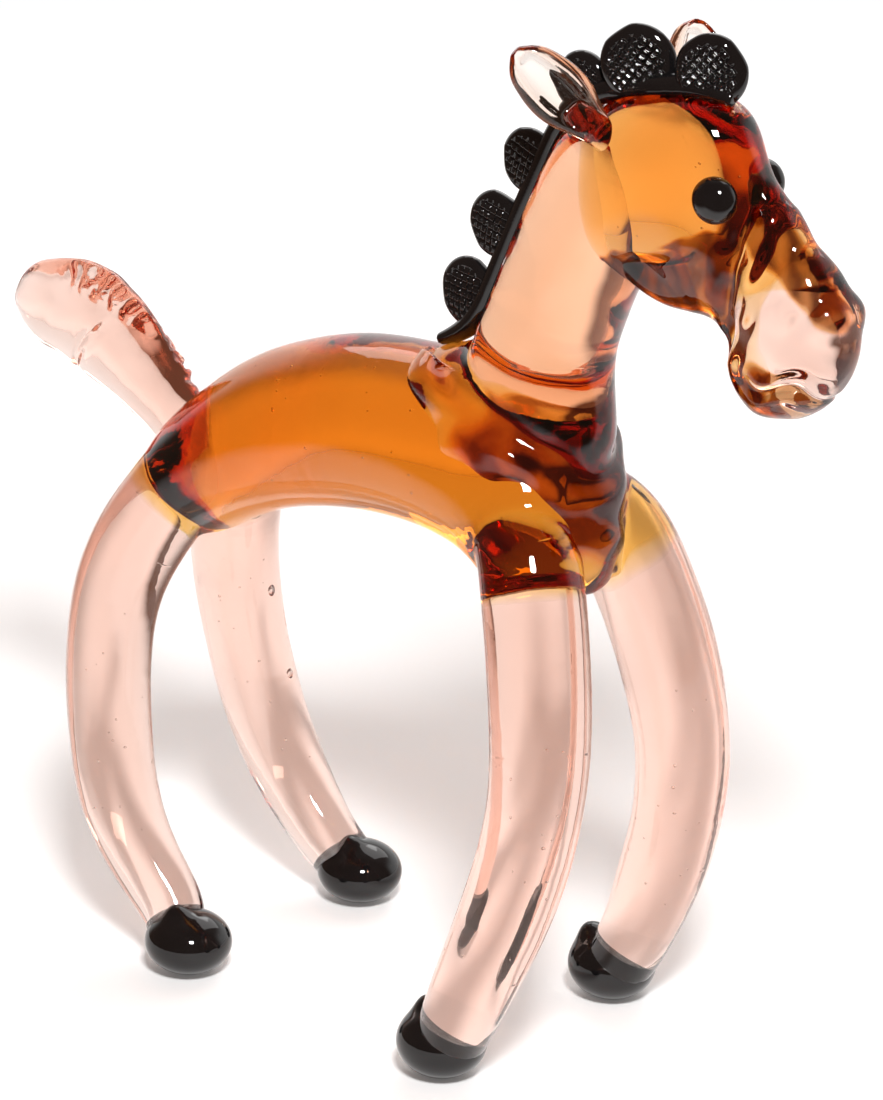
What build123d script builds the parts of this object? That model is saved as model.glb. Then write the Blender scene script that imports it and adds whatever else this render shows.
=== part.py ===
"""Crystal glass foal: a thick amber bar bent over four drawn legs, with a gathered neck and head,
black hooves, eyes and a pressed black mane.

Millimetres. +X is the way the foal faces, +Y its left side, +Z up. The origin is on the table,
under the middle of the figure. Each gather of glass is a separate solid, and the gathers meet
face to face where they were fused while hot.
"""

import math
import os

from build123d import *

# Driving dimensions -------------------------------------------------------------------------
stance_half_length = 55.0  # table contact of the hooves, fore and aft of the origin
stance_half_width = 40.0  # table contact of the hooves, either side of the middle
back_height = 190.0  # axis of the bar at the top of the back
bar_diameter = 56.0  # the amber bar that is the body
head_turn = 8.0  # degrees that the head looks to the foal's left
head_pitch = -29.0  # degrees that the face slopes down
poll = (82.0, 0.0, 290.0)  # where the head's axis starts, behind the ears
leg_tip_diameter = 20.0
tip_roundness = 0.96  # the leg's domed end inside the hoof, against the leg's own radius
hoof_length = 29.0
hoof_width = 28.0
hoof_height = 24.0
sole_flat = 0.6  # how much of the hoof's lowest point is fire-polished flat
eye_diameter = 14.0
eye_bulge = 11.0  # eye size across the head, before it is sunk into the face
button_thickness = 8.5  # mane buttons, through the middle

os.makedirs("parts", exist_ok=True)
sideways = (0, 1, 0)


# Helpers ------------------------------------------------------------------------------------
def lean(degrees):
    """Direction in the foal's middle plane, measured up from straight ahead."""
    return (math.cos(math.radians(degrees)), 0, math.sin(math.radians(degrees)))


def gather(stations, side=sideways):
    """A drawn-out mass of hot glass: a smooth loft of ellipses (centre, direction, deep, wide)."""
    with BuildPart() as mass:
        for centre, direction, deep, wide in stations:
            with BuildSketch(Plane(origin=centre, x_dir=side, z_dir=direction)):
                Ellipse(wide / 2, deep / 2)
        loft()
    return mass.part


def drawn_rod(line, round_end=True):
    """A round rod through (x, y, z, diameter), the direction following its neighbours."""
    stations = []
    for i, (x, y, z, diameter) in enumerate(line):
        before = line[max(i - 1, 0)]
        after = line[min(i + 1, len(line) - 1)]
        direction = tuple(after[axis] - before[axis] for axis in range(3))
        stations.append(((x, y, z), direction, diameter, diameter))
    tip = line[-1]
    with BuildPart() as rod:
        add(gather(stations))
        if round_end:
            with Locations(tip[:3]):
                Sphere(tip_roundness * tip[3] / 2)
    return rod.part


def pebble(plane, length, width, height):
    """A ball of glass drawn to three diameters, set in a plane's own directions."""
    with BuildPart() as ball:
        Sphere(0.5)
        scale(by=(length, width, height))
    return plane.location * ball.part


def mirrored(shape):
    """The same piece on the foal's other side."""
    return mirror(shape, about=Plane.XZ)


def without(mass, *takes):
    """The mass with the space of its neighbours taken away, so the two meet face to face."""
    with BuildPart() as piece:
        add(mass)
        for take in takes:
            add(take, mode=Mode.SUBTRACT)
    return piece.part


def largest(shape):
    """The main solid of a cut, without the crumbs that a grazing cut leaves."""
    return shape.solids().sort_by(SortBy.VOLUME)[-1]


def save(shape, name):
    shape.label = name
    export_step(shape, f"parts/{name}.step")


# Body and legs: one bent bar that forks into two legs at each end ---------------------------
bar = gather(
    [
        ((-85, 0, 146), lean(55), 30, 56),
        ((-76, 0, 159), lean(47), 42, 60),
        ((-42, 0, 179), lean(30), 52, 59),
        ((-16, 0, 187), lean(15), bar_diameter - 1, 58),
        ((10, 0, back_height), lean(4), bar_diameter, 58),
        ((36, 0, back_height - 1), lean(-10), bar_diameter, 59),
        ((57, 0, 182), lean(-32), 53, 60),
        ((69, 0, 170), lean(-55), 44, 60),
        ((75, 0, 156), lean(-72), 28, 52),
    ]
)

# Left legs from the bar down to the hoof: (x, y, z, diameter).
rods = {
    "hind": drawn_rod(
        [
            (-60, 8, 172, 30),
            (-78, 14, 158, 31),
            (-90, 20, 140, 30.5),
            (-98, 26.5, 118, 29.5),
            (-99, 31, 92, 28),
            (-93, 35, 60, 27),
            (-80, 37, 35, 24.5),
            (-60, 39.5, 13, leg_tip_diameter),
        ]
    ),
    "front": drawn_rod(
        [
            (64, 14, 177, 28),
            (78.5, 21.5, 163, 31.5),
            (87, 27.5, 138, 31.5),
            (92, 33, 104, 30),
            (87, 37.5, 70, 28.5),
            (75.5, 40.5, 40, 26.5),
            (62, 39.5, 13, leg_tip_diameter + 3),
        ]
    ),
}

# The seams where the pink legs take over from the amber bar: the left one of each pair, with
# its normal towards the bar.
seams = {
    "hind": Plane(origin=(-80.0, 10.0, 131.5), x_dir=(0, 0.51, 0.72), z_dir=(0.47, -0.72, 0.51)),
    "front": Plane(origin=(71.0, 36.0, 157.5), x_dir=(0, 0.85, 0.38), z_dir=(-0.37, -0.38, 0.85)),
}


def mirrored_plane(plane):
    return Plane(
        origin=(plane.origin.X, -plane.origin.Y, plane.origin.Z),
        x_dir=(plane.x_dir.X, -plane.x_dir.Y, plane.x_dir.Z),
        z_dir=(plane.z_dir.X, -plane.z_dir.Y, plane.z_dir.Z),
    )


for end in ("hind", "front"):
    rods[end, "left"] = rods.pop(end)
    rods[end, "right"] = mirrored(rods[end, "left"])
    seams[end, "left"] = seams.pop(end)
    seams[end, "right"] = mirrored_plane(seams[end, "left"])

with BuildPart() as glass_mass:
    add(bar)
    for rod in rods.values():
        add(rod)

with BuildPart() as trunk:
    add(glass_mass.part)
    for plane in seams.values():
        split(bisect_by=plane, keep=Keep.TOP)

legs = {}
for (end, side), rod in rods.items():
    with BuildPart() as leg:
        add(rod)
        split(bisect_by=seams[end, side], keep=Keep.BOTTOM)
    legs[end, side] = largest(leg.part)

# Neck: a gather that flares into a collar over the shoulders --------------------------------
neck_stations = [
    ((52, 0, 181), lean(51), 80, 44),
    ((55, 0, 190), lean(51), 88, 53),
    ((58, 0, 203), lean(59), 73, 47),
    ((62, 0, 218), lean(72), 54, 40),
    ((66, 0, 233), lean(75), 44, 38),
    ((73, 0, 250), lean(66), 42.5, 37),
    ((82, 0, 268), lean(62), 43, 35),
    ((90.5, 0, 286), lean(66), 41, 31),
    ((95, 0, 300), lean(72), 27, 20),
]
neck_mass = gather(neck_stations)

# Head and muzzle, in the head's own plane: x along the face, y up from it, z across it ------
along_face = Vector(*lean(head_pitch)).rotate(Axis.Z, head_turn)
across_face = Vector(0, -1, 0).rotate(Axis.Z, head_turn)
face = Plane(origin=poll, x_dir=along_face, z_dir=across_face)


def on_face(along, up, across=0.0):
    return face.from_local_coords((along, up, across))


def face_gather(stations):
    """Lofted (along, up, deep, wide) stations square to the face's axis."""
    placed = [(on_face(along, up), along_face, deep, wide) for along, up, deep, wide in stations]
    return gather(placed, side=across_face)


muzzle_start = 63.0
head_mass = face_gather(
    [
        (-3.5, 13, 9, 8),
        (0, 12, 22, 18),
        (6, 10.5, 38, 27),
        (16, 9, 55, 34),
        (32, 10, 66, 34),
        (46, 7.5, 57, 28),
        (56, 7, 46.5, 24),
        (muzzle_start, 6, 44.5, 23),
    ]
)
muzzle_mass = face_gather(
    [
        (muzzle_start, 6, 44.5, 23),
        (72, 0.5, 48, 24),
        (83, -4.5, 51.5, 27),
        (93, -5.5, 42, 25),
        (100, -5.5, 26, 17),
        (102.5, -5.5, 10, 7),
    ]
)

# Eyes: black balls sunk a little into the face ----------------------------------------------
eye_along = 45.5
eye_up = 22.5
eye_across = 13.0
eyes = {
    name: pebble(Plane(on_face(eye_along, eye_up, across), x_dir=along_face, z_dir=face.y_dir),
                 eye_diameter, eye_bulge, eye_diameter)
    for name, across in (("right", eye_across), ("left", -eye_across))
}

# Ears: drawn leaves with a hollow pressed in, each from a round root to its own tip ---------
ear_ends = {
    "right": (Vector(93, -11, 303), Vector(77, -28, 326)),
    "left": (Vector(108, 14, 307), Vector(99, 27, 329)),
}


def ear(root, tip):
    """A leaf from root to tip, hollowed on the side that faces forward."""
    rise = tip - root
    length = rise.length
    broad = rise.cross(Vector(1, 0, 0)).normalized()
    leaf = [(-0.08, 8, 8), (0.08, 9, 9), (0.3, 15, 9), (0.55, 17, 9), (0.8, 12, 7), (0.97, 5, 4)]
    stations = [(root + rise * at, rise, thick, wide) for at, wide, thick in leaf]
    hollow = Plane(root + rise * 0.6, x_dir=rise, z_dir=broad)
    forward = hollow.y_dir if hollow.y_dir.X > 0 else -hollow.y_dir
    scoop = pebble(
        Plane(hollow.origin + forward * 5.5, x_dir=rise, z_dir=broad), length * 0.62, 11, 12
    )
    return without(gather(stations, side=broad), scoop)


# Mane: a black ribbon laid along the crest with pressed buttons standing on it --------------
ribbon_line = [
    (19, 0, 221, 5),
    (31, 0, 228, 9),
    (41.5, 0, 246, 9.5),
    (51, 0, 266, 9.5),
    (60, 0, 284, 9.5),
    (70, 0, 301, 9.5),
    (83, 0, 311, 9.5),
    (102, 2.5, 315.5, 10),
    (121, 5.5, 317.5, 10),
    (132, 7.5, 314.5, 6),
]
ribbon = drawn_rod(ribbon_line, round_end=False)

# Each button: centre, diameter, turn about the vertical.
buttons = [
    ((33.5, 0, 239), 22.5, 0),
    ((44.5, 0, 262.5), 21, 0),
    ((57.5, 0, 284.5), 20.5, 0),
    ((78.5, 0, 312), 19, 5),
    ((98.5, 1.5, 320.5), 24, 20),
    ((122.5, 5.5, 321.5), 22.5, 20),
]


def pressed_button(centre, diameter, turn):
    """A lens of glass pressed flat between two jaws, standing upright."""
    upright = Plane(centre, x_dir=Vector(1, 0, 0).rotate(Axis.Z, turn), z_dir=(0, 0, 1))
    return pebble(upright, diameter, button_thickness, diameter)


# Tail: a flattened paddle raised behind ------------------------------------------------------
tail_mass = gather(
    [
        ((-86, 0, 162), lean(135), 20, 17),
        ((-101, 0, 175), lean(138), 25, 17),
        ((-118.5, 0, 187.5), lean(145), 35, 16),
        ((-136, 0, 196), lean(163), 39, 15),
        ((-154, 0, 197), lean(180), 32, 13),
        ((-166.5, 0, 196), lean(188), 20, 10),
        ((-171.5, 0, 195.5), lean(190), 8, 5),
    ]
)

# Hooves: black gobs pressed over the leg ends, with a small flat sole ------------------------
hoof_reach = {"hind": -stance_half_length + 1, "front": stance_half_length + 4}
hooves = {}
for (end, side), leg_shape in legs.items():
    y = stance_half_width if side == "left" else -stance_half_width
    with BuildPart() as hoof:
        add(pebble(Plane((hoof_reach[end], y, hoof_height / 2 - sole_flat)),
                   hoof_length, hoof_width, hoof_height))
        split(bisect_by=Plane.XY, keep=Keep.TOP)
        add(leg_shape, mode=Mode.SUBTRACT)
    hooves[end, side] = largest(hoof.part)

# Fitting the gathers together ----------------------------------------------------------------
neck = without(neck_mass, head_mass, glass_mass.part)
mane = without(ribbon, neck_mass, head_mass, glass_mass.part)

save(largest(trunk.part), "body")
for end, side in legs:
    save(legs[end, side], f"leg_{end}_{side}")
    save(hooves[end, side], f"hoof_{end}_{side}")
save(largest(neck), "neck")
save(largest(head_mass), "head")
save(largest(muzzle_mass), "muzzle")
for name, eye in eyes.items():
    save(largest(without(eye, head_mass)), f"eye_{name}")
for name, (root, tip) in ear_ends.items():
    save(largest(without(ear(root, tip), head_mass, neck_mass)), f"ear_{name}")
save(largest(mane), "mane_ribbon")
for number, (centre, diameter, turn) in enumerate(buttons, start=1):
    button = without(pressed_button(centre, diameter, turn), ribbon, neck_mass, head_mass)
    save(largest(button), f"mane_button_{number}")
save(largest(without(tail_mass, glass_mass.part)), "tail")
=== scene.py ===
import math

import bmesh
import bpy
import numpy as np
from mathutils import Matrix, Vector, noise
from mathutils.bvhtree import BVHTree


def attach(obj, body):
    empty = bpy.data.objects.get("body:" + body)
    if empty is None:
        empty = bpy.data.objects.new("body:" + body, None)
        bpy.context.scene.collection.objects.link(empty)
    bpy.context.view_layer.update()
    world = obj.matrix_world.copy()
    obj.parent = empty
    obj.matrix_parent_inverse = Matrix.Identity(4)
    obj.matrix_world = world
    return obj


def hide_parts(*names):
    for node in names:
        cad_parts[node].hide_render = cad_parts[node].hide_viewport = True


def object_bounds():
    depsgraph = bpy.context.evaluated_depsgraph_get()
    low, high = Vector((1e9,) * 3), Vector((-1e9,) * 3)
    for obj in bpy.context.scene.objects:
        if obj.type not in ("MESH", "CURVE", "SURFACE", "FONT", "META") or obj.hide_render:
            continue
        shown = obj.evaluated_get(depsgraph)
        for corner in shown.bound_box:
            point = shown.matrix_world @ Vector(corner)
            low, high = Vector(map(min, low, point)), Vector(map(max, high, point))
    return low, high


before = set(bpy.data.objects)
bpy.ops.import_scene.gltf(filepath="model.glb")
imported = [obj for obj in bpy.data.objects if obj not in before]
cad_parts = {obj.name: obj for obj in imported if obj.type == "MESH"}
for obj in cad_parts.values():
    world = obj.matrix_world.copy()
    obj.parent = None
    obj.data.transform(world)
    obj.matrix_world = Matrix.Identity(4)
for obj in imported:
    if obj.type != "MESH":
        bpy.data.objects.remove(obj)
cad_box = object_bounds()
MM = 0.001
FUSED_GAP = 0.03  # mm, hairline between two joint faces, so that they never coincide
COVER_REACH = 6.0  # mm, how deep under another piece a point is still measured
SINK_DEPTH = 0.25  # mm of cover over which a host's face sinks by the gap
OUTER, FUSED = 0, 1  # what a face is: polished surface, or a joint inside the glass
pieces = {}


# ---------------------------------------------------------------------------------------------
# Mesh tools, all in millimetres until a piece is finished
# ---------------------------------------------------------------------------------------------
def new_object(name, mesh):
    piece = bpy.data.objects.new(name, mesh)
    bpy.context.scene.collection.objects.link(piece)
    return piece


def drop(*gone):
    for piece in gone:
        bpy.data.objects.remove(piece)


def mesh_of(name, verts, faces):
    mesh = bpy.data.meshes.new(name)
    mesh.from_pydata([tuple(v) for v in verts], [], faces)
    build = bmesh.new()
    build.from_mesh(mesh)
    bmesh.ops.recalc_face_normals(build, faces=build.faces)
    build.to_mesh(mesh)
    build.free()
    return new_object(name, mesh)


def from_nodes(name, *nodes):
    """A loose object holding copies of the CAD nodes' meshes, in millimetres."""
    build = bmesh.new()
    for node in nodes:
        build.from_mesh(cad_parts[node].data)
    bmesh.ops.remove_doubles(build, verts=build.verts, dist=0.001 * MM)
    mesh = bpy.data.meshes.new(name)
    build.to_mesh(mesh)
    build.free()
    mesh.materials.clear()
    mesh.transform(Matrix.Scale(1 / MM, 4))
    return new_object(name, mesh)


def settle(piece):
    """Applies the modifiers."""
    graph = bpy.context.evaluated_depsgraph_get()
    mesh = bpy.data.meshes.new_from_object(piece.evaluated_get(graph))
    piece.modifiers.clear()
    piece.data = mesh
    return piece


def remeshed(piece, voxel, rounds, factor=0.5):
    skin = piece.modifiers.new("skin", "REMESH")
    skin.mode = "VOXEL"
    skin.voxel_size = voxel * 1.0
    ease = piece.modifiers.new("ease", "SMOOTH")
    ease.factor = factor
    ease.iterations = max(rounds // (1), 1)
    return settle(piece)


def coords(piece):
    co = np.empty(len(piece.data.vertices) * 3, np.float32)
    piece.data.vertices.foreach_get("co", co)
    return co.reshape(-1, 3).astype(float)


def set_coords(piece, co):
    piece.data.vertices.foreach_set("co", np.asarray(co, np.float32).ravel())
    piece.data.update()


def normals(piece):
    out = np.empty(len(piece.data.vertices) * 3, np.float32)
    piece.data.vertices.foreach_get("normal", out)
    return out.reshape(-1, 3).astype(float)


def set_kind(piece, kind):
    count = len(piece.data.polygons)
    piece.data.polygons.foreach_set("material_index", np.full(count, kind, np.int32))


def boolean(piece, other, operation):
    """Changes piece. Faces that come from the other mesh are marked FUSED."""
    tool = copied(other, "tool")
    for thing in (piece, tool):
        while len(thing.data.materials) < 2:
            thing.data.materials.append(None)
    set_kind(tool, FUSED)
    cut = piece.modifiers.new("cut", "BOOLEAN")
    cut.operation = operation
    cut.solver = "MANIFOLD"
    cut.material_mode = "INDEX"
    cut.object = tool
    settle(piece)
    drop(tool)
    return piece


def copied(piece, name):
    return new_object(name, piece.data.copy())


def loose_parts(piece, name, count):
    """Its biggest separate shells as objects, biggest first."""
    build = bmesh.new()
    build.from_mesh(piece.data)
    build.verts.ensure_lookup_table()
    seen, shells = set(), []
    for start in build.verts:
        if start.index in seen:
            continue
        seen.add(start.index)
        shell, todo = [start.index], [start]
        while todo:
            for edge in todo.pop().link_edges:
                for vert in edge.verts:
                    if vert.index not in seen:
                        seen.add(vert.index)
                        shell.append(vert.index)
                        todo.append(vert)
        shells.append(set(shell))
    build.free()
    found = []
    for number, shell in enumerate(sorted(shells, key=len, reverse=True)[:count]):
        build = bmesh.new()
        build.from_mesh(piece.data)
        gone = [v for v in build.verts if v.index not in shell]
        bmesh.ops.delete(build, geom=gone, context="VERTS")
        mesh = bpy.data.meshes.new(f"{name}_{number}")
        build.to_mesh(mesh)
        build.free()
        for slot_material in piece.data.materials:
            mesh.materials.append(slot_material)
        found.append(new_object(f"{name}_{number}", mesh))
    return found


def surface_tree(piece):
    build = bmesh.new()
    build.from_mesh(piece.data)
    found = BVHTree.FromBMesh(build)
    build.free()
    return found


def depth_in(points, other, reach=COVER_REACH):
    """How deep each point lies inside another closed piece; below zero outside it."""
    low, high = coords(other).min(0) - 1, coords(other).max(0) + 1
    near = np.where(((points > low) & (points < high)).all(1))[0]
    depth = np.full(len(points), -reach)
    shell = surface_tree(other)
    for i in near:
        place, normal, _, away = shell.find_nearest(points[i])
        side = (place - Vector(points[i])).dot(normal)
        depth[i] = min(away, reach) * (1 if side > 0 else -1)
    return depth


def mark_laid(host, *guests):
    """Notes on the host's points how deep they lie under pieces fused over them."""
    co = coords(host)
    deepest = np.full(len(co), -COVER_REACH)
    for guest in guests:
        deepest = np.maximum(deepest, depth_in(co, guest))
    laid = host.data.attributes.new("laid", "FLOAT", "POINT")
    laid.data.foreach_set("value", deepest.astype(np.float32))
    sink = np.clip(deepest / SINK_DEPTH, 0, 1) * FUSED_GAP
    set_coords(host, co - normals(host) * sink[:, None])


def lean(degrees):
    turn = math.radians(degrees)
    return np.array([math.cos(turn), 0.0, math.sin(turn)])


def turned(vector, degrees):
    """Turned about the vertical."""
    turn = math.radians(degrees)
    x, y, z = vector
    return np.array([x * math.cos(turn) - y * math.sin(turn), x * math.sin(turn) + y * math.cos(turn), z])


def unit(vector):
    vector = np.asarray(vector, float)
    return vector / np.linalg.norm(vector, axis=-1, keepdims=True)


def eased(knots, values, at):
    """Natural cubic curve through the values."""
    knots, values = np.asarray(knots, float), np.asarray(values, float)
    count, gaps = len(knots), np.diff(knots)
    system, right = np.eye(count), np.zeros((count, values.shape[1]))
    for i in range(1, count - 1):
        system[i, i - 1], system[i, i + 1] = gaps[i - 1], gaps[i]
        system[i, i] = 2 * (gaps[i - 1] + gaps[i])
        right[i] = 6 * ((values[i + 1] - values[i]) / gaps[i] - (values[i] - values[i - 1]) / gaps[i - 1])
    bend = np.linalg.solve(system, right)
    k = np.clip(np.searchsorted(knots, at) - 1, 0, count - 2)
    gap, low, high = gaps[k][:, None], (at - knots[k])[:, None], (knots[k + 1] - at)[:, None]
    return (
        (bend[k] * high**3 + bend[k + 1] * low**3) / (6 * gap)
        + (values[k] / gap - bend[k] * gap / 6) * high
        + (values[k + 1] / gap - bend[k + 1] * gap / 6) * low
    )


def gathered(name, stations, side=(0, 1, 0), around=72, sub=8, shape=None):
    """A drawn-out mass of glass through ellipses (centre, direction, deep, wide).

    shape(share of the way along, x, y) may change each ring before it is placed.
    """
    rows = np.array([[*c, *unit(d), deep, wide] for c, d, deep, wide in stations], float)
    steps = np.linalg.norm(np.diff(rows[:, :3], axis=0), axis=1)
    knots = np.concatenate([[0], np.cumsum(np.maximum(steps, 0.5))])
    stretches = [np.linspace(a, b, sub, endpoint=False) for a, b in zip(knots, knots[1:])]
    at = np.concatenate([*stretches, knots[-1:]])
    rows = eased(knots, rows, at)
    along = unit(rows[:, 3:6])
    across = np.asarray(side, float) - along * (along @ np.asarray(side, float))[:, None]
    across = unit(across)
    up = np.cross(along, across)
    angle = np.linspace(0, 2 * math.pi, around, endpoint=False)
    rings = []
    for i in range(len(at)):
        x, y = np.cos(angle) * rows[i, 7] / 2, np.sin(angle) * rows[i, 6] / 2
        if shape:
            x, y = shape(at[i] / knots[-1], x, y)
        rings.append(rows[i, :3] + np.outer(x, across[i]) + np.outer(y, up[i]))
    verts = np.concatenate(rings + [rows[:1, :3], rows[-1:, :3]])
    faces = []
    for i in range(len(at) - 1):
        for j in range(around):
            k = (j + 1) % around
            faces.append((i * around + j, i * around + k, (i + 1) * around + k, (i + 1) * around + j))
    first, last = len(verts) - 2, len(verts) - 1
    end = (len(at) - 1) * around
    for j in range(around):
        k = (j + 1) % around
        faces += [(first, k, j), (last, end + j, end + k)]
    return mesh_of(name, verts, faces)


def rod_stations(line):
    """Stations of a round rod through points (x, y, z, diameter)."""
    out = []
    for i, (x, y, z, diameter) in enumerate(line):
        before, after = line[max(i - 1, 0)], line[min(i + 1, len(line) - 1)]
        out.append(((x, y, z), [after[a] - before[a] for a in range(3)], diameter, diameter))
    return out


def ball(name, centre, axes, sizes, detail=5):
    """A pebble of three diameters along three axes."""
    build = bmesh.new()
    bmesh.ops.create_icosphere(build, subdivisions=detail - 0, radius=0.5)
    turn = Matrix([unit(a) for a in axes]).transposed()
    for vert in build.verts:
        vert.co = turn @ Vector(c * s for c, s in zip(vert.co, sizes)) + Vector(centre)
    mesh = bpy.data.meshes.new(name)
    build.to_mesh(mesh)
    build.free()
    return new_object(name, mesh)


def two_skins(name, verts, rings, around):
    """A closed sheet: two equal fans of rings, listed one after the other and joined at the rim."""
    each = 1 + rings * around
    faces = []
    for base in (0, each):
        for j in range(around):
            k = (j + 1) % around
            faces.append((base, base + 1 + j, base + 1 + k))
            for i in range(rings - 1):
                inner, outer = base + 1 + i * around, base + 1 + (i + 1) * around
                faces.append((inner + j, outer + j, outer + k, inner + k))
    rim = 1 + (rings - 1) * around
    for j in range(around):
        k = (j + 1) % around
        faces.append((rim + j, each + rim + j, each + rim + k, rim + k))
    return mesh_of(name, verts, faces)


def hairline(
    name, centre, normal, radius, dome=0.0, wobble=0.0, seed=0.0,
    trough=0.0, hollow=(0.3, 1, 0.2), rings=26, around=72,
):
    """A curved sheet of air one hairline thick, which parts a mass where two gathers meet."""
    normal = unit(normal)
    x = unit(np.cross(normal, hollow))
    y = np.cross(normal, x)
    verts = []
    for layer in (0.5, -0.5):
        for i in range(rings + 1):
            r = radius * i / rings
            for j in range(around if i else 1):
                a = 2 * math.pi * j / around
                flat = np.asarray(centre) + x * r * math.cos(a) + y * r * math.sin(a)
                lift = dome * (1 - (r / radius) ** 2) - trough * (r * math.cos(a)) ** 2
                lift += wobble * noise.noise(Vector(flat * 0.09) + Vector((seed, 0, 0)))
                verts.append(flat + normal * (lift + layer * FUSED_GAP))
    return two_skins(name, verts, rings, around)


def waved(piece, size, length, seed=0.0):
    """The slow waviness of hot-worked glass."""
    co, out = coords(piece), normals(piece)
    offset = Vector((seed, seed * 0.7, -seed))
    lift = [noise.noise(Vector(p) / length + offset) for p in co]
    set_coords(piece, co + out * (np.array(lift) * size)[:, None])


# ---------------------------------------------------------------------------------------------
# The glass
# ---------------------------------------------------------------------------------------------
neck_stations = [
    ((52, 0, 181), lean(51), 80, 44),
    ((55, 0, 190), lean(51), 88, 53),
    ((58, 0, 203), lean(59), 73, 47),
    ((62, 0, 218), lean(72), 54, 40),
    ((66, 0, 233), lean(75), 44, 38),
    ((73, 0, 250), lean(66), 42.5, 37),
    ((82, 0, 268), lean(62), 43, 35),
    ((90.5, 0, 286), lean(66), 41, 31),
    ((95, 0, 300), lean(72), 27, 20),
]
neck_foot, up_neck = np.array([55.0, 0, 190.0]), lean(55)
head_turn, head_pitch = 8.0, -29.0
poll = np.array([82.0, 0.0, 290.0])
along_face = turned(lean(head_pitch), head_turn)
across_face = turned((0, -1, 0), head_turn)
up_face = np.cross(across_face, along_face)


def on_face(along, up, across=0.0):
    return poll + along * along_face + up * up_face + across * across_face


def face_place(co):
    """(along, up, across) of points, in the head's own directions."""
    away = co - poll
    return away @ along_face, away @ up_face, away @ across_face


tail_stations = [
    ((-86, 0, 162), lean(135), 20, 17),
    ((-101, 0, 175), lean(138), 25, 17),
    ((-118.5, 0, 187.5), lean(145), 35, 16),
    ((-136, 0, 196), lean(163), 39, 15),
    ((-154, 0, 197), lean(180), 32, 13),
    ((-166.5, 0, 196), lean(188), 20, 10),
    ((-171.5, 0, 195.5), lean(190), 8, 5),
]

# The amber bar and the four drawn legs, parted by hairlines where they were fused.
legs = [f"leg_{end}_{side}" for end in ("front", "hind") for side in ("left", "right")]
mass = remeshed(from_nodes("mass", "body", *legs), 0.85, 18)
waved(mass, 0.35, 26.0, 3.0)
# Each parting sheet on the left: centre, normal, radius, dome, wobble, and where its wobble starts
leg_partings = {
    "hind": ((-85, 17.6, 147), (0.47, -0.72, 0.51), 25, 1.5, 1.2, 0),
    "front": ((81, 23.2, 156), (-0.37, -0.38, 0.85), 24, 4.0, 1.5, 5),
}
for side in (1, -1):
    mirrored = np.array([1, side, 1])
    for end, (centre, normal, radius, dome, wobble, seed) in leg_partings.items():
        place = (centre * mirrored, normal * mirrored)
        sheet = hairline(f"part_{end}{side}", *place, radius, dome, wobble, seed + side)
        boolean(mass, sheet, "DIFFERENCE")
        drop(sheet)
body, *leg_shells = loose_parts(mass, "shell", 1 + len(legs))
drop(mass)
for shell in leg_shells:
    x, y, _ = coords(shell).mean(0)
    name = f"leg_{'front' if x > 0 else 'hind'}_{'left' if y > 0 else 'right'}"
    shell.name = name + "_glass"
    pieces[name] = shell

# Head and muzzle: one worked mass, parted where the pink gather was added to the amber one.
skull = remeshed(from_nodes("skull", "head", "muzzle"), 0.7, 14)


def bump_at(place, centre, spread):
    """1 at the centre of a worked spot, fading out over its spread along each direction."""
    total = 0
    for here, middle, width in zip(place, centre, spread):
        total = total + ((here - middle) / width) ** 2
    return np.exp(-total)


def worked_face(piece):
    """The marks the tools left: pinched cheeks, nostril lobes, mouth crease, lumpy bridge."""
    co, out = coords(piece), normals(piece)
    place = face_place(co)
    along, up, across = place
    lift = np.zeros(len(co))
    for side in (1, -1):
        lift += 2.2 * bump_at(place, (93, 14, side * 9), (5, 6, 8))  # nostril lobes
        lift -= 1.8 * bump_at(place, (86, 9, side * 12), (3, 6, 6))
        lift -= 3.0 * bump_at(place, (37, -13, side * 15), (8, 6, 10))  # thumb press under the cheek
        lift += 1.2 * bump_at(place, (50, 2, side * 13), (5, 10, 8))
    flank = np.clip((np.abs(across) - 5) / 4, 0, 1)
    crease = along - 61 + 0.28 * (up - 4)
    lift -= 2.6 * flank * np.exp(-((crease / 3.4) ** 2))
    lift += 1.2 * flank * np.exp(-(((crease - 7.0) / 4.0) ** 2))
    mouth = up + 13 - 0.45 * (along - 92) - 2.5 * np.sin(along * 0.35)
    reach = np.exp(-(((along - 92) / 9) ** 2))
    lift -= 2.6 * np.exp(-((mouth / 2.0) ** 2)) * reach
    lift += 1.2 * np.exp(-(((mouth - 4.0) / 2.6) ** 2)) * reach
    lift += 1.2 * np.exp(-(((mouth + 4.0) / 2.6) ** 2)) * reach
    lumpy = np.clip((along - 50) / 10, 0, 1) * (1 - 0.6 * np.clip((along - 72) / 6, 0, 1))
    rough = np.array([noise.noise(Vector(p) / 9.5 + Vector((4.2, 1.1, 7.3))) for p in co])
    lift += 1.7 * rough * lumpy
    lift -= np.clip((along - 96) / 6, 0, 1) * np.clip(lift, 0, 9)
    set_coords(piece, co + out * lift[:, None])


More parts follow.
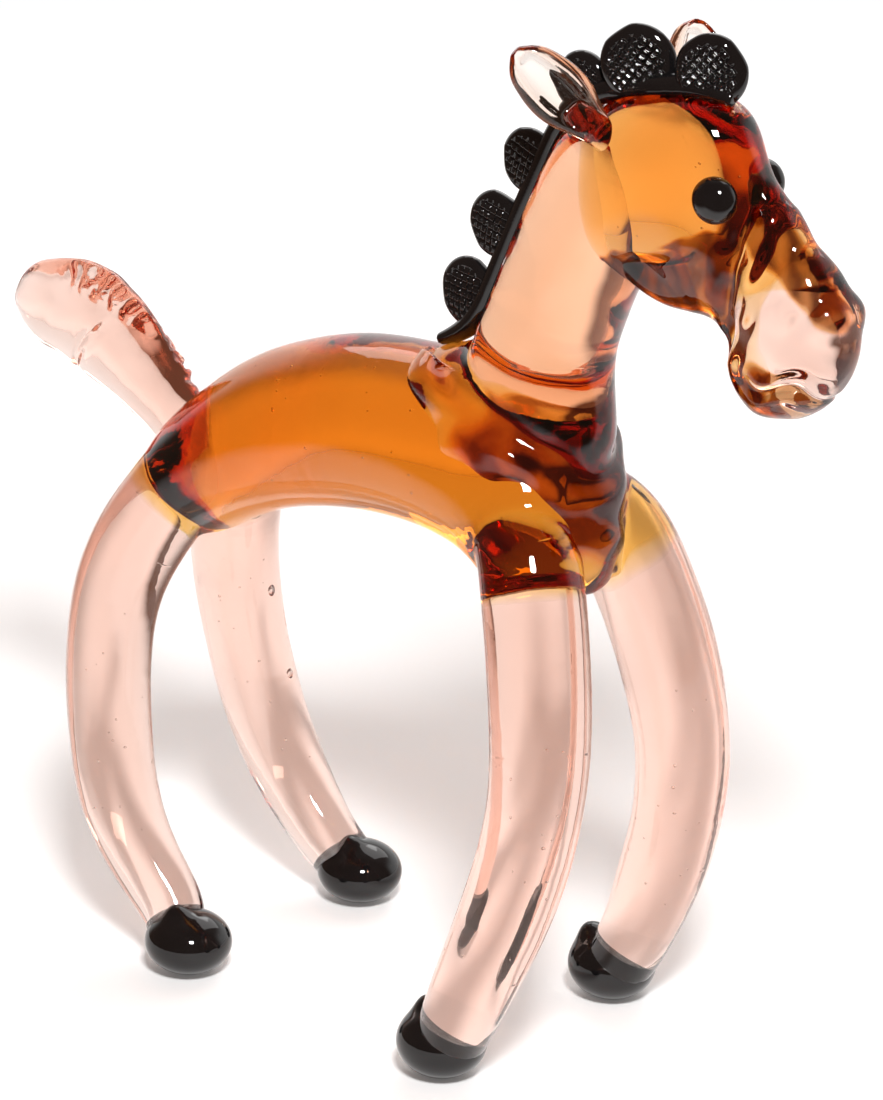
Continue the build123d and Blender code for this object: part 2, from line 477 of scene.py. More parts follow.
def squared_head(piece, power=2.35):
    """Flattens the cheeks: the head's sections are fuller than ellipses."""
    co = coords(piece)
    along, up, across = face_place(co)
    marks = [-3.5, 0, 6, 16, 32, 46, 56, 63, 72, 83, 93, 102]
    middle = np.interp(along, marks, [13, 12, 10.5, 9, 10, 7.5, 7, 6, 0.5, -4.5, -5.5, -5.5])
    deep = np.interp(along, marks, [9, 22, 38, 55, 66, 57, 46.5, 44.5, 48, 51.5, 42, 12]) / 2
    wide = np.interp(along, marks, [8, 18, 27, 34, 34, 28, 24, 23, 24, 27, 25, 8]) / 2
    v, w = np.abs(up - middle) / deep, np.abs(across) / wide
    round_reach = np.sqrt(v**2 + w**2)
    full_reach = (v**power + w**power) ** (1 / power)
    swell = round_reach / np.maximum(full_reach, 1e-6)
    share = np.clip((along - 4) / 12, 0, 1) * np.clip((100 - along) / 10, 0, 1)
    swell = 1 + (swell - 1) * share
    centre = poll + along[:, None] * along_face + middle[:, None] * up_face
    co = centre + (co - centre) * swell[:, None]
    # Below a slanting edge on each cheek the jaw narrows like a keel
    chine = np.clip(along - 39, -19, 9)
    below = np.clip((chine - up) / np.maximum(chine - middle + deep, 1) / 0.35, 0, 1)
    below = below * below * (3 - 2 * below)
    keel = 0.14 * below * np.clip((along - 14) / 10, 0, 1) * np.clip((57 - along) / 7, 0, 1)
    set_coords(piece, co - across_face * (across * swell * keel)[:, None])


squared_head(skull)
worked_face(skull)
waved(skull, 0.5, 17.0, 9.0)
pink_start = hairline(
    "pink_start", on_face(67, -2), -along_face, 52,
    wobble=4.0, seed=11.0, trough=0.045, hollow=across_face, rings=60,
)
boolean(skull, pink_start, "DIFFERENCE")
drop(pink_start)
halves = loose_parts(skull, "half", 2)
drop(skull)
halves.sort(key=lambda s: coords(s).mean(0) @ along_face)
head, muzzle = halves

neck = remeshed(gathered("neck_glass", neck_stations), 0.7, 14)


def rolled_collar(piece):
    """The lip of the neck gather, rolled thick over the bar and pushed about while soft."""
    co, out = coords(piece), normals(piece)
    height = (co - neck_foot) @ up_neck
    low = np.exp(-((np.clip(height - 2, 0, 99) / 13) ** 2))
    ledge = np.exp(-(((height - 22) / 5) ** 2))
    stretch = (0.045, 0.05, 0.085)
    fold = np.array([noise.noise(Vector(p * stretch) + Vector((2.7, 8.1, 0.4))) for p in co])
    fine = np.array([noise.noise(Vector(p) / 9.0 + Vector((1.7, 3.1, 5.4))) for p in co])
    lift = low * (3.4 * fold + 1.2 * fine) - 1.6 * ledge * (0.6 + fold)
    # The rim itself stands proud of the bar and bulges outward just above it
    proud = -depth_in(co, body, 14.0)
    chest = np.clip((co[:, 0] - 70) / 14, 0, 1)
    lift += (3.4 + 2.0 * fold) * np.exp(-(((proud - 2.2) / 2.6) ** 2)) * (1 - 0.65 * chest)
    lift -= 1.5 * np.exp(-(((proud - 9.0) / 3.0) ** 2)) * low
    set_coords(piece, co + out * lift[:, None])


rolled_collar(neck)
waved(neck, 0.5, 17.0, 21.0)
tail = remeshed(gathered("tail_glass", tail_stations), 0.6, 5)


def tooled_tail(piece):
    """A row of nips along the tail's upper edge, and one fold across its middle."""
    co, out = coords(piece), normals(piece)
    fine_steps = 159
    line = np.array([station[0] for station in tail_stations], float)
    steps = np.linalg.norm(np.diff(line, axis=0), axis=1)
    run = np.concatenate([[0], np.cumsum(steps)])
    fine = eased(run, line, np.linspace(0, run[-1], fine_steps + 1))
    tangent = unit(np.gradient(fine, axis=0))
    nearest = ((co[:, None, :] - fine[None]) ** 2).sum(2).argmin(1)
    upward = np.cross(tangent[nearest], (0, 1, 0))
    upward *= np.sign(upward[:, 2:3] + 1e-9)
    height = ((co - fine[nearest]) * upward).sum(1)
    at = nearest / fine_steps * run[-1]
    jitter = np.array([noise.noise(Vector(p) / 6.0) for p in co])
    edge = np.clip((height - 3.5) / 4.0, 0, 1) * np.clip((at - 14) / 8, 0, 1)
    edge *= np.clip((run[-1] - 20 - at) / 14, 0, 1)
    edge *= np.clip((co[:, 1] + 1.0) / 3.0, 0, 1) * np.clip((15.5 - height) / 4, 0, 1)
    lift = 1.0 * edge * np.sin((at + 3.0 * jitter) * 2 * math.pi / 5.2)
    fold = np.exp(-(((at - 55 + 0.5 * height) / 1.8) ** 2)) * np.clip((3 - height) / 6, 0, 1)
    lift -= 1.0 * fold
    set_coords(piece, co + out * lift[:, None])


tooled_tail(tail)
waved(tail, 0.4, 9.0, 31.0)

# ---------------------------------------------------------------------------------------------
# Black glass
# ---------------------------------------------------------------------------------------------
hooves = {}
# Middle and diameters of each hoof, a point on the flat seat under its leg and the seat's normal,
# and the way its rim is drawn up into a peak.
hoof_seats = {
    "hoof_front_right": (
        (59, -40, 11.2), (29, 28, 23.0), (65.2, -40, 18.6), (0.32, 0.54, 0.77), (-0.47, -0.01, 0.88),
    ),
    "hoof_front_left": (
        (59, 40, 11.2), (29, 28, 23.0), (65.2, 40, 18.2), (0.32, 0.54, 0.77), (-0.58, -0.16, 0.80),
    ),
    "hoof_hind_right": (
        (-54, -40, 10.4), (29, 28, 21.0), (-64.5, -39.5, 17.6), (-0.60, 0.20, 0.74), (-0.16, -0.30, 0.94),
    ),
    "hoof_hind_left": (
        (-54, 40, 10.4), (29, 28, 21.0), (-64.5, 39.5, 17.6), (-0.60, 0.20, 0.74), (-0.10, -0.30, 0.95),
    ),
}
for name, (centre, sizes, seat, normal, peak) in hoof_seats.items():
    hoof = ball(name, centre, ((1, 0, 0), (0, 1, 0), (0, 0, 1)), sizes, 7)
    co = coords(hoof)
    away, normal = unit(co - np.array(centre)), unit(normal)
    angle = np.arccos(np.clip(away @ unit(peak), -1, 1))
    co = co + away * (3.0 * np.exp(-((angle / 0.34) ** 2)))[:, None]
    above = (co - np.array(seat)) @ normal - 3.4 * np.exp(-((angle / 0.5) ** 2))
    co = co - normal * np.clip(above, 0, 99)[:, None]
    co[:, 2] = np.maximum(co[:, 2], 0.05)
    set_coords(hoof, co)
    hoof = remeshed(hoof, 0.45, 3)
    co = coords(hoof)
    co[:, 2] = np.maximum(co[:, 2], 0.03)
    set_coords(hoof, co)
    hooves[name] = hoof

EYE_SIZES = (14, 14, 11)
eye_axes = (along_face, up_face, across_face)
eyes = {}
for name, across in (("right", 13.0), ("left", -13.0)):
    centre = on_face(45.5, 22.5, across)
    eyes[f"eye_{name}"] = ball(f"eye_{name}_glass", centre, eye_axes, EYE_SIZES, 6)

# Points along the ribbon's middle, with its diameter there
ribbon_line = [
    (21, 0, 221.5, 4),
    (32.5, 0, 228, 7),
    (43.5, 0, 245, 7.2),
    (53, 0, 265, 7.2),
    (62, 0, 283, 7.2),
    (71.5, 0, 299.5, 7.4),
    (84, 0, 309.5, 7.6),
    (102, 2.5, 314.0, 8),
    (120, 5.3, 316.0, 8),
    (130, 7.0, 314.0, 5),
]
ribbon = remeshed(gathered("mane_ribbon_glass", rod_stations(ribbon_line), around=40), 0.6, 3)

# Centre, diameter and turn about the vertical, from the withers to the brow
button_specs = [
    ((33.5, 0, 239), 22.5, 0),
    ((44.5, 0, 262.5), 21, 0),
    ((57.5, 0, 284.5), 20.5, 0),
    ((78.5, 0, 312), 19, 5),
    ((98.5, 1.5, 320.5), 24, 20),
    ((122.5, 5.5, 321.5), 22.5, 20),
]
THICK, PITCH, GROOVE, PRESS = 8.5, 2.4, 1.0, 0.75  # mm, of the discs and their waffle pattern


def pressed_button(name, centre, diameter, turn, tilt):
    """A disc of glass pinched flat by waffle-faced jaws, standing upright."""
    rings, around = ((58, 200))
    centre, upright = np.asarray(centre), np.array([0, 0, 1.0])
    broad, across = turned((1, 0, 0), turn), turned((0, 1, 0), turn)
    radius = diameter / 2
    verts = []
    for side in (1, -1):
        for i in range(rings + 1):
            rho = math.sin(0.5 * math.pi * (i / rings)) if i < rings else 1.0
            for j in range(around if i else 1):
                a = 2 * math.pi * j / around
                rim = 1 + 0.03 * math.sin(3 * a + centre[0]) + 0.02 * math.sin(5 * a + centre[2])
                rim = min(rim, 1.0)
                u, v = rho * radius * math.cos(a) * rim, rho * radius * math.sin(a) * rim
                half = THICK / 2 * max(1 - rho**3.2, 0) ** 0.5 * 0.86
                turn_u = u * math.cos(tilt) - v * math.sin(tilt)
                turn_v = u * math.sin(tilt) + v * math.cos(tilt)
                lines = 0
                for place in (turn_u, turn_v):
                    away = abs((place / PITCH) % 1 - 0.5) * PITCH
                    lines = max(lines, 1 - min(away / (GROOVE / 2), 1) ** 2)
                fade = min(max((0.8 - rho) / 0.12, 0), 1)
                half -= PRESS * lines * fade + 0.25 * fade
                verts.append(centre + broad * u + upright * v + across * side * half)
    button = two_skins(name, verts, rings, around)
    build = bmesh.new()
    build.from_mesh(button.data)
    bmesh.ops.remove_doubles(build, verts=build.verts, dist=0.004)
    build.to_mesh(button.data)
    build.free()
    return button


buttons = {}
for number, (centre, diameter, turn) in enumerate(button_specs, start=1):
    name = f"mane_button_{number}"
    buttons[name] = pressed_button(name + "_glass", centre, diameter, turn, 0.12 * number)

# ---------------------------------------------------------------------------------------------
# Ears
# ---------------------------------------------------------------------------------------------
# Root, tip, and the way the hollow faces.
ear_ends = {
    "right": ((94, -11, 302), (77, -28.5, 326), (0.62, -0.70, 0.1)),
    "left": ((108, 14, 307), (99, 27, 329), (0.8, -0.45, 0.1)),
}
# Share of the way to the tip, width and thickness
leaf = [
    (-0.25, 8, 8),
    (-0.05, 9, 9),
    (0.12, 12, 9.5),
    (0.3, 16.5, 9),
    (0.52, 18.6, 8.4),
    (0.75, 16, 7.4),
    (0.92, 10, 6),
    (1.0, 3.5, 3.5),
]
EAR_HOLLOW = 5.0  # mm, how far the hollow is pressed in
ears = {}
for side, (root, tip, faces) in ear_ends.items():
    root, tip = np.array(root, float), np.array(tip, float)
    rise = tip - root
    broad = unit(np.cross(rise, faces))
    inward = np.sign(np.dot(np.cross(unit(rise), broad), faces))

    def cupped(at, x, y, inward=inward):
        cup = min(max((at - 0.3) / 0.15, 0), 1) * min(max((1.0 - at) / 0.12, 0), 1)
        wide = np.abs(x).max() + 1e-6
        dish = np.clip(1 - (np.abs(x) / (0.62 * wide)) ** 3, 0, 1)
        return x, y - inward * cup * EAR_HOLLOW * dish * (y * inward > 0)

    stations = [(root + rise * at, rise, thick, wide) for at, wide, thick in leaf]
    ear = gathered(f"ear_{side}", stations, side=broad, shape=cupped)
    ears[f"ear_{side}"] = remeshed(ear, 0.45, 5)

# ---------------------------------------------------------------------------------------------
# Fitting: a guest is cut by its host, and the host notes where it is covered
# ---------------------------------------------------------------------------------------------
uncut_neck, uncut_tail = copied(neck, "uncut_neck"), copied(tail, "uncut_tail")
uncut_ears = [copied(ear, "uncut_ear") for ear in ears.values()]
boolean(neck, body, "DIFFERENCE")
boolean(neck, head, "DIFFERENCE")
boolean(tail, body, "DIFFERENCE")
for ear in ears.values():
    boolean(ear, head, "DIFFERENCE")
    boolean(ear, neck, "DIFFERENCE")
mark_laid(body, uncut_neck, uncut_tail)
mark_laid(head, uncut_neck, *uncut_ears)
for guest in (neck, head):
    boolean(guest, ribbon, "DIFFERENCE")
    for button in buttons.values():
        boolean(guest, button, "DIFFERENCE")
for eye in eyes.values():
    boolean(head, eye, "DIFFERENCE")
for leg in legs:
    boolean(pieces[leg], hooves[leg.replace("leg", "hoof")], "DIFFERENCE")
drop(uncut_neck, uncut_tail, *uncut_ears)


def add_bubbles(piece, spots):
    """Air left in the glass: small closed hollows (centre, diameters, way they are drawn)."""
    build = bmesh.new()
    build.from_mesh(piece.data)
    for centre, (length, width), way in spots:
        made = bmesh.ops.create_icosphere(build, subdivisions=3, radius=0.5)
        turn = Vector(way).to_track_quat("Z", "Y").to_matrix()
        for vert in made["verts"]:
            x, y, z = vert.co
            vert.co = turn @ Vector((x * width, y * width, z * length)) + Vector(centre)
        faces = {face for vert in made["verts"] for face in vert.link_faces}
        bmesh.ops.reverse_faces(build, faces=list(faces))
        for face in faces:
            face.material_index = OUTER
    build.to_mesh(piece.data)
    build.free()


rng = np.random.default_rng(7)
LEG_BUBBLES, BODY_BUBBLES, BROW_BUBBLES, HEAD_BUBBLES = 16, 26, 26, 14
FINE = (0.25, 0.6)  # mm, the smallest and largest of the fine seeds
# Points down the middle of each left leg
leg_lines = {
    "hind": [(-97, 25, 120), (-99, 31, 92), (-93, 35, 60), (-80, 37, 35)],
    "front": [(91, 31, 115), (91, 35, 85), (83, 39, 55), (74, 40.5, 37)],
}
# Two larger drops of air in the left hind leg
leg_drops = [
    ((-89.8, 32.8, 104), (4.4, 2.6), (-0.1, 0.2, -1)),
    ((-89.2, 39.2, 72), (3.6, 2.2), (0.15, 0.1, -1)),
]
for leg in legs:
    _, end, side = leg.split("_")
    flip = 1 if side == "left" else -1
    line = np.array(leg_lines[end], float) * (1, flip, 1)
    spots = []
    for _ in range(LEG_BUBBLES):
        at = rng.uniform(0, 2.99)
        k = int(at)
        place = line[k] * (1 - at + k) + line[k + 1] * (at - k) + rng.uniform(-7.5, 7.5, 3)
        size = rng.uniform(*FINE)
        spots.append((place, (size * rng.uniform(1.0, 2.2), size), line[k + 1] - line[k]))
    if leg == "leg_hind_left":
        spots += leg_drops
    add_bubbles(pieces[leg], spots)
spots = []
for _ in range(BODY_BUBBLES):
    place = np.array([rng.uniform(-55, 35), rng.uniform(-17, 17), 0])
    place[2] = 190 - 0.006 * (place[0] - 5) ** 2 + rng.uniform(-17, 17)
    size = rng.uniform(*FINE)
    spots.append((place, (size * rng.uniform(1.0, 2.5), size), (1, 0.1, 0.1)))
add_bubbles(body, spots)
spots = []
for _ in range(BROW_BUBBLES):
    along, across = rng.uniform(17, 33), rng.uniform(-11, -1)
    crown = np.interp(along, [16, 32], [36.5, 43]) - 0.055 * across**2
    size = rng.uniform(0.9, 2.3)
    place = on_face(along, crown - 1.4 - size - rng.uniform(0, 2.5), across)
    spots.append((place, (size, size * 0.8), (0.3, 0.6, 0.7)))
for _ in range(HEAD_BUBBLES):
    place = on_face(rng.uniform(14, 50), rng.uniform(-10, 26), rng.uniform(-9, 9))
    size = rng.uniform(*FINE)
    spots.append((place, (size * 1.6, size), along_face))
add_bubbles(head, spots)


# ---------------------------------------------------------------------------------------------
# Materials
# ---------------------------------------------------------------------------------------------
def fresh(name):
    mat = bpy.data.materials.new(name)
    mat.use_nodes = True
    tree = mat.node_tree
    tree.nodes.clear()
    out = tree.nodes.new("ShaderNodeOutputMaterial")
    shader = tree.nodes.new("ShaderNodeBsdfPrincipled")
    tree.links.new(shader.outputs[0], out.inputs["Surface"])
    return mat, tree, shader, out


def node(tree, kind, **settings):
    made = tree.nodes.new(kind)
    for key, value in settings.items():
        if key in made.inputs:
            made.inputs[key].default_value = value
        else:
            setattr(made, key, value)
    return made


def maths(tree, operation, *values):
    """The outcome of a sum; each value is a number or a socket."""
    made = node(tree, "ShaderNodeMath", operation=operation)
    for value, socket in zip(values, made.inputs):
        if isinstance(value, (int, float)):
            socket.default_value = value
        else:
            tree.links.new(value, socket)
    return made.outputs[0]


def ranged(tree, value, span, levels, **settings):
    """Takes a socket's value from one range to another."""
    made = node(tree, "ShaderNodeMapRange", **settings)
    for key, number in zip(("From Min", "From Max", "To Min", "To Max"), (*span, *levels)):
        made.inputs[key].default_value = number
    tree.links.new(value, made.inputs["Value"])
    return made.outputs[0]


def swept(tree, place, way, span, levels):
    """A smooth change along one direction."""
    run = node(tree, "ShaderNodeVectorMath", operation="DOT_PRODUCT")
    run.inputs[1].default_value = way
    tree.links.new(place, run.inputs[0])
    return ranged(tree, run.outputs["Value"], span, levels, interpolation_type="SMOOTHSTEP")


def blended(tree, share, first, second):
    """A mix of two shaders."""
    made = node(tree, "ShaderNodeMixShader")
    for socket, place in zip((share, first, second), made.inputs):
        tree.links.new(socket, place)
    return made.outputs[0]


def ramped(tree, value, *stops):
    """A colour ramp through (place, colour) stops."""
    made = node(tree, "ShaderNodeValToRGB")
    tree.links.new(value, made.inputs[0])
    first, *between, last = stops
    made.color_ramp.elements[0].color = (*first[1], 1)
    made.color_ramp.elements[1].color = (*last[1], 1)
    for at, colour in between:
        made.color_ramp.elements.new(at).color = (*colour, 1)
    return made.outputs[0]


GLASS_IOR = 1.5
WHITE = (1.0, 1.0, 1.0)
# Painted shade: base colours from no painted shade (white) to full painted shade (dark brown)
PAINTED_SHADE_TONES = (
    (0.0, WHITE),
    (0.3, (0.76, 0.4, 0.12)),
    (0.65, (0.24, 0.06, 0.008)),
    (1.0, (0.035, 0.005, 0.001)),
)
BLACK_TONES = ((0.0, (0.0022, 0.0020, 0.0024)), (1.0, (0.0075, 0.0068, 0.0070)))
PAPER_TONES = ((0.0, (0.88, 0.88, 0.88)), (1.0, (0.93, 0.93, 0.93)))


def glass(name, dark, density, seed):
    """Clear coloured glass: dark is what its depth takes away from each colour, per metre."""
    mat, tree, shader, out = fresh(name)
    link = tree.links.new
    shader.inputs["Transmission Weight"].default_value = 1.0
    shader.inputs["Roughness"].default_value = 0.0
    place = node(tree, "ShaderNodeTexCoord")
    shift = node(tree, "ShaderNodeMapping")
    shift.inputs["Location"].default_value = (seed, seed * 0.6, -seed)
    link(place.outputs["Object"], shift.inputs["Vector"])
    # Faint cords and seeds left in the surface
    cords = node(tree, "ShaderNodeTexNoise", Scale=55.0, Detail=2.0, Distortion=0.6)
    link(shift.outputs[0], cords.inputs["Vector"])
    seeds = node(tree, "ShaderNodeTexVoronoi", Scale=160.0)
    link(shift.outputs[0], seeds.inputs["Vector"])
    pit = ranged(tree, seeds.outputs["Distance"], (0.0, 0.07), (-1.0, 0.0))
    bump = node(tree, "ShaderNodeBump", Strength=0.25, Distance=0.0006)
    link(maths(tree, "MULTIPLY_ADD", pit, 0.35, cords.outputs["Fac"]), bump.inputs["Height"])
    link(bump.outputs[0], shader.inputs["Normal"])
    # Painted shade: the base colour turns dark brown where the head, muzzle and collar would show shade
    # through refraction (a point attribute, 0 to 1)
    painted_shade = node(tree, "ShaderNodeAttribute", attribute_name="painted_shade")
    toned = node(tree, "ShaderNodeVectorMath", operation="SCALE")
    link(ramped(tree, painted_shade.outputs["Fac"], *PAINTED_SHADE_TONES), toned.inputs[0])
    link(ranged(tree, cords.outputs["Fac"], (0.0, 1.0), (0.94, 1.0)), toned.inputs["Scale"])
    link(toned.outputs[0], shader.inputs["Base Color"])
    # Inside a joint the light goes straight on
    marks = []
    for mark, least in (("cut", 0.5), ("laid", 0.001)):
        found = node(tree, "ShaderNodeAttribute", attribute_name=mark)
        marks.append(maths(tree, "GREATER_THAN", found.outputs["Fac"], least))
    inside = maths(tree, "MAXIMUM", *marks)
    link(ranged(tree, inside, (0.0, 1.0), (GLASS_IOR, 1.0)), shader.inputs["IOR"])
    volume = node(tree, "ShaderNodeVolumeAbsorption")
    volume.inputs["Color"].default_value = (*(1 - np.array(dark) / density), 1)
    volume.inputs["Density"].default_value = density
    link(volume.outputs[0], out.inputs["Volume"])
    return mat


def black_glass():
    """Opaque polished glass, very slightly cloudy."""
    mat, tree, shader, _ = fresh("black_glass")
    link = tree.links.new
    place = node(tree, "ShaderNodeTexCoord")
    cloud = node(tree, "ShaderNodeTexNoise", Scale=90.0, Detail=3.0)
    link(place.outputs["Object"], cloud.inputs["Vector"])
    fac = cloud.outputs["Fac"]
    link(ramped(tree, fac, *BLACK_TONES), shader.inputs["Base Color"])
    link(ranged(tree, fac, (0.0, 1.0), (0.02, 0.07)), shader.inputs["Roughness"])
    bump = node(tree, "ShaderNodeBump", Strength=0.12, Distance=0.0004)
    link(fac, bump.inputs["Height"])
    link(bump.outputs[0], shader.inputs["Normal"])
    shader.inputs["IOR"].default_value = GLASS_IOR
    return mat


# What each glass takes from red, green and blue, per metre
AMBER = np.array([5.0, 26.5, 76.0])
DEEP_AMBER = np.array([5.0, 33.0, 84.0])
HONEY = np.array([3.0, 18.0, 31.0])
BLUSH = np.array([2.8, 15.0, 20.5])
TEA = (18.0, 48.0, 70.0)
amber = glass("amber_glass", AMBER, 95.0, 0.0)
deep_amber = glass("deep_amber_glass", DEEP_AMBER, 100.0, 2.0)
honey = glass("honey_glass", HONEY, 40.0, 0.4)
blush = glass("blush_glass", BLUSH, 30.0, 0.8)
pale = glass("pale_blush_glass", BLUSH * 1.6, 50.0, 1.2)
tea = glass("tea_glass", TEA, 90.0, 1.6)
black = black_glass()


def noisy(co, size, shift):
    """Smooth noise at each point, from about -1 to 1."""
    return np.array([noise.noise(Vector(p) / size + Vector(shift)) for p in co])


def soft(value, width):
    """A smooth step from 0 to 1, centred on zero."""
    step = np.clip(value / width + 0.5, 0, 1)
    return step * step * (3 - 2 * step)


def painted_shade_lines(co, drift, fineness):
    """Wavy parallel lines that make the painted shade lighter and darker in streaks."""
    slow = noisy(co, 13.0, (3.1, 0.2, 6.6))
    quick = noisy(co, 5.0, (8.1, 4.2, 0.6))
    lines = np.sin(drift * fineness + 2.6 * slow + 1.2 * quick)
    return 0.82 + 0.18 * lines


def face_painted_shade(co):
    """Painted shade: dark lobes under the cheeks, the dark fork that runs down both edges of the muzzle,
    and dark bands along the bridge and the chin.
    """
    along, up, across = face_place(co)
    along = along + 3.0 * noisy(co, 16.0, (1.2, 5.5, 2.2)) + 1.3 * noisy(co, 5.0, (7.2, 0.5, 3.2))
    up = up + 3.0 * noisy(co, 15.0, (6.2, 1.5, 8.2)) + 1.3 * noisy(co, 5.5, (2.2, 9.5, 1.2))
    under_cheek = np.minimum(along - 39 - up, 4.5 - 1.1 * (along - 42) - up)
    lobe = soft(under_cheek, 3.0) * soft(up + 33 - 0.1 * along, 4.0) * soft(along - 14, 4.0)
    fork = soft(4.2 - np.abs(along - 58.6 + 0.35 * up), 2.4) * soft(along - 49, 4.0)
    bridge = soft(up - 15 + 0.1 * (along - 60), 3.0) * soft(along - 54, 4.0) * soft(99 - along, 5.0)
    chin = soft(-up - 22 + 0.12 * (along - 60), 3.0) * soft(along - 60, 4.0) * soft(96 - along, 5.0)
    mark = np.maximum.reduce([lobe, fork, bridge, 0.8 * chin])
    return mark * painted_shade_lines(co, along + up, 0.55) * soft(np.abs(across) - 3.0, 3.0)


def collar_painted_shade(co):
    """Painted shade in the folds of the rolled collar, strongest over the chest."""
    height = (co - neck_foot) @ up_neck
    height = height + 5.0 * noisy(co, 17.0, (4.4, 2.1, 0.9))
    forward = co[:, 0] - 56 + 8 * noisy(co, 14.0, (0.3, 0.8, 5.0))
    fold = soft(11.0 - np.abs(height - 12.0), 6.0) * soft(forward, 8.0)
    return 0.75 * fold * painted_shade_lines(co, height + co[:, 1] * 0.25, 0.4)


# Painted shade masks, for the pieces that get painted shade
PAINTED_SHADE_MASKS = {"head": face_painted_shade, "muzzle": face_painted_shade, "neck": collar_painted_shade}


def finish(piece, node_name, mat):
    """Marks the joint faces, gives the piece its glass, and hangs it under the root body's empty."""
    mesh = piece.data
    co = np.clip(coords(piece), low_corner, high_corner)
    set_coords(piece, co)
    # Painted shade, kept as a point attribute for the glass's base colour
    if node_name in PAINTED_SHADE_MASKS:
        painted_shade = mesh.attributes.new("painted_shade", "FLOAT", "POINT")
        painted_shade.data.foreach_set("value", PAINTED_SHADE_MASKS[node_name](co).astype(np.float32))
    kind = np.zeros(len(mesh.polygons), np.int32)
    mesh.polygons.foreach_get("material_index", kind)
    if kind.any():
        cut = mesh.attributes.new("cut", "FLOAT", "FACE")
        cut.data.foreach_set("value", kind.astype(np.float32))
    mesh.materials.clear()
    mesh.materials.append(mat)
    mesh.polygons.foreach_set("material_index", np.zeros(len(kind), np.int32))
    mesh.polygons.foreach_set("use_smooth", np.ones(len(kind), bool))
    build = bmesh.new()
    build.from_mesh(mesh)
    build.faces.ensure_lookup_table()
    for edge in build.edges:
        near = {kind[f.index] for f in edge.link_faces}
        if len(near) > 1:
            edge.smooth = False
    build.to_mesh(mesh)
    build.free()
    mesh.transform(Matrix.Scale(MM, 4))
    mesh.update()
    piece.name = node_name + "_glass"
    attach(piece, ROOT)
    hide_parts(node_name)


ROOT = "root"
low_corner, high_corner = (np.array(corner) / MM for corner in cad_box)
for name in legs:
    finish(pieces[name], name, blush)
finish(body, "body", amber)
finish(head, "head", deep_amber)
finish(muzzle, "muzzle", blush)
finish(neck, "neck", honey)
finish(tail, "tail", pale)
for name, ear in ears.items():
    finish(ear, name, tea)
for name, piece in {**hooves, **eyes, **buttons, "mane_ribbon": ribbon}.items():
    finish(piece, name, black)

# ---------------------------------------------------------------------------------------------
# Studio: white floor, dim room, soft lights, camera
# ---------------------------------------------------------------------------------------------
DIM_ROOM = (0.17, 0.1, 0.072, 1)
LIT_PAPER = (1.06, 1.05, 1.04, 1)
CAMERA_AWAY = 1.5  # metres
SENSOR, LENS = 36.0, 158.4  # millimetres
azimuth, elevation = math.radians(43.2), math.radians(19.4)
toward = Vector((math.sin(azimuth), -math.cos(azimuth), 0))
right = Vector((math.cos(azimuth), math.sin(azimuth), 0))
up = Vector((0, 0, 1))
FLOOR_HALF, FLOOR_DROP = 2.6, 0.0002  # metres


def paper():
    """White paper to the camera; past the lit sheet the glass gathers the dim room from it."""
    mat, tree, shader, out = fresh("floor_paper")
    place = node(tree, "ShaderNodeTexCoord").outputs["Object"]
    grain = node(tree, "ShaderNodeTexNoise", Scale=400.0, Detail=2.0)
    tree.links.new(place, grain.inputs["Vector"])
    tone = ramped(tree, grain.outputs["Fac"], *PAPER_TONES)
    tree.links.new(tone, shader.inputs["Base Color"])
    tree.links.new(tone, shader.inputs["Emission Color"])
    shader.inputs["Roughness"].default_value = 0.6
    shader.inputs["Specular IOR Level"].default_value = 0.2
    # Painted light: the paper glows by itself, more the farther it lies behind the figure, brightening
    # the far floor that the glass shows
    glow = swept(tree, place, -toward, (0.2, 1.1), (0.12, 0.44))
    tree.links.new(glow, shader.inputs["Emission Strength"])
    # The lit sheet ends to the left and in front
    from_left = swept(tree, place, right, (-0.7, -0.3), (0, 1))
    from_front = swept(tree, place, -toward, (-0.5, -0.28), (0, 1))
    seen = node(tree, "ShaderNodeLightPath").outputs["Is Camera Ray"]
    lit = maths(tree, "MULTIPLY", from_left, from_front)
    dim = node(tree, "ShaderNodeEmission", Color=DIM_ROOM).outputs[0]
    near = blended(tree, maths(tree, "MAXIMUM", lit, seen), dim, shader.outputs[0])
    # Far away the floor runs into the white backdrop without an edge
    reach = node(tree, "ShaderNodeVectorMath", operation="LENGTH")
    tree.links.new(place, reach.inputs[0])
    far = ranged(tree, reach.outputs["Value"], (0.6, 1.5), (0.0, 1.0), interpolation_type="SMOOTHSTEP")
    white = node(tree, "ShaderNodeEmission", Color=(*WHITE, 1)).outputs[0]
    tree.links.new(blended(tree, maths(tree, "MULTIPLY", far, seen), near, white), out.inputs["Surface"])
    return mat


corners = []
for forward, sideways in ((-1, -1), (-1, 1), (1, 1), (1, -1)):
    across_floor = toward * (forward * FLOOR_HALF) + right * (sideways * FLOOR_HALF)
    corners.append(across_floor - up * FLOOR_DROP)
mesh = bpy.data.meshes.new("floor")
mesh.from_pydata(corners, [], [(0, 3, 2, 1)])
floor = new_object("floor", mesh)
floor.data.materials.append(paper())

level = math.cos(elevation)
back = Vector((math.sin(azimuth) * level, -math.cos(azimuth) * level, math.sin(elevation)))
target = Vector((25.3, -4.2, 155.0)) * MM
camera = bpy.data.objects.new("camera", bpy.data.cameras.new("camera"))
bpy.context.scene.collection.objects.link(camera)
camera.location = target + back * CAMERA_AWAY
camera.rotation_euler = back.to_track_quat("Z", "Y").to_euler()
camera.data.sensor_fit = "VERTICAL"
camera.data.sensor_height = SENSOR
camera.data.lens = LENS
bpy.context.scene.camera = camera

scene = bpy.context.scene


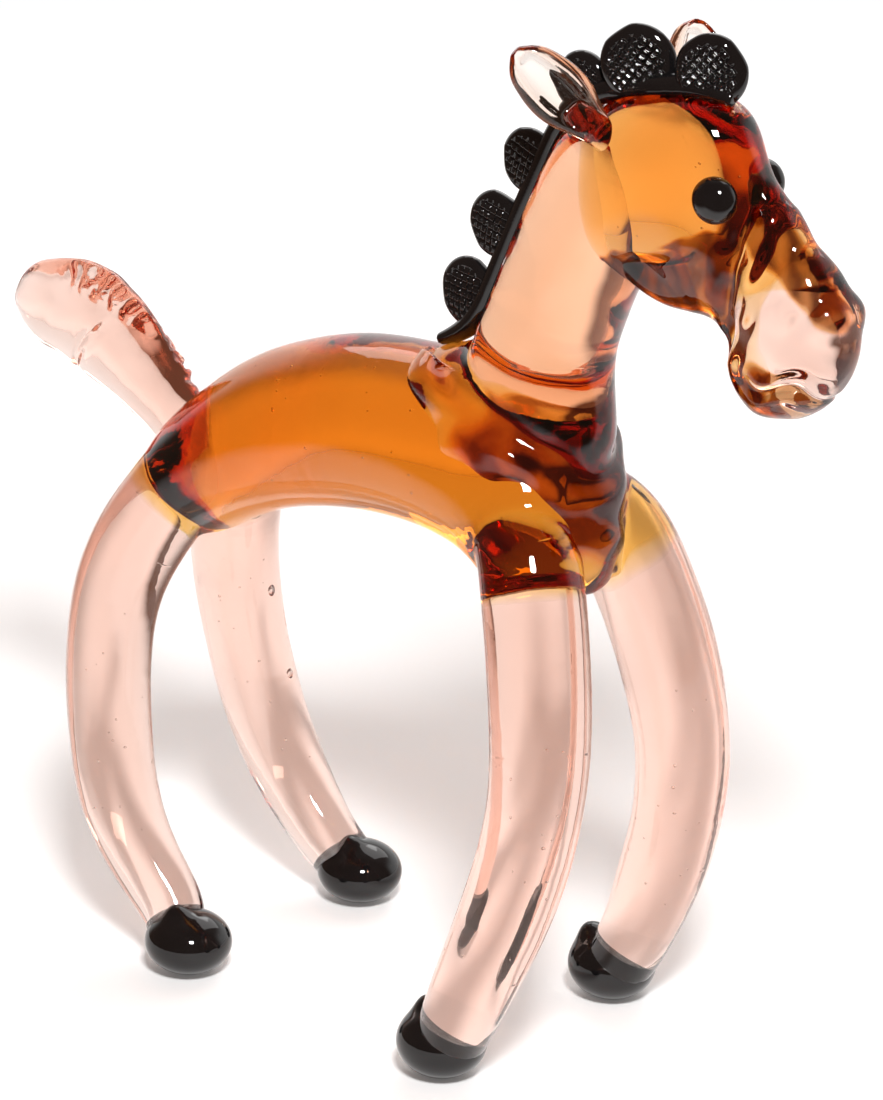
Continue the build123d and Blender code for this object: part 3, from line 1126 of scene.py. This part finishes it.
def room():
    """White to the camera. The glass sees lit paper behind and to the right, and a dim warm room."""
    world = bpy.data.worlds.new("studio")
    world.use_nodes = True
    tree = world.node_tree
    tree.nodes.clear()
    out = tree.nodes.new("ShaderNodeOutputWorld")
    place = node(tree, "ShaderNodeTexCoord").outputs["Generated"]
    behind = swept(tree, place, -toward, (-0.12, 0.25), (0.0, 1.0))
    beside = swept(tree, place, right * 0.87 - toward * 0.5, (-0.42, -0.04), (0.0, 1.0))
    apart = node(tree, "ShaderNodeSeparateXYZ")
    tree.links.new(place, apart.inputs[0])
    below = ranged(tree, apart.outputs["Z"], (0.3, 0.68), (1.0, 0.1), interpolation_type="SMOOTHSTEP")
    tone = node(tree, "ShaderNodeMix", data_type="RGBA")
    lit = maths(tree, "MULTIPLY", maths(tree, "MULTIPLY", behind, beside), below)
    tree.links.new(lit, tone.inputs["Factor"])
    tone.inputs[6].default_value = DIM_ROOM
    tone.inputs[7].default_value = LIT_PAPER
    ground = node(tree, "ShaderNodeBackground")
    tree.links.new(tone.outputs[2], ground.inputs["Color"])
    white = node(tree, "ShaderNodeBackground", Color=(*WHITE, 1), Strength=1.0)
    seen = node(tree, "ShaderNodeLightPath").outputs["Is Camera Ray"]
    tree.links.new(blended(tree, seen, ground.outputs[0], white.outputs[0]), out.inputs["Surface"])
    return world


scene.world = room()


def softbox(name, place, aim, size, power):
    light = bpy.data.lights.new(name, "AREA")
    light.shape = "RECTANGLE"
    light.size, light.size_y = size
    light.energy = power
    lamp = bpy.data.objects.new(name, light)
    bpy.context.scene.collection.objects.link(lamp)
    lamp.location = place
    lamp.rotation_euler = (Vector(place) - Vector(aim)).to_track_quat("Z", "Y").to_euler()


# Place and aim in metres, sides in metres, power in watts
softbox("overhead", toward * -1.2 + right * 0.6 + up * 1.6, (0, 0, 0), (1.5, 1.5), 12)
softbox("backdrop", toward * -1.7 + up * 1.5, toward * -1.6, (1.6, 0.8), 9.5)
softbox("key", toward * 1.2 + right * 0.12 + up * 1.28, (0, 0, 0.1), (0.27, 0.27), 32)

scene.view_settings.view_transform = "Standard"
scene.cycles.max_bounces = 32
scene.cycles.transmission_bounces = 32
scene.cycles.transparent_max_bounces = 24
scene.cycles.glossy_bounces = 16
scene.cycles.diffuse_bounces = 4

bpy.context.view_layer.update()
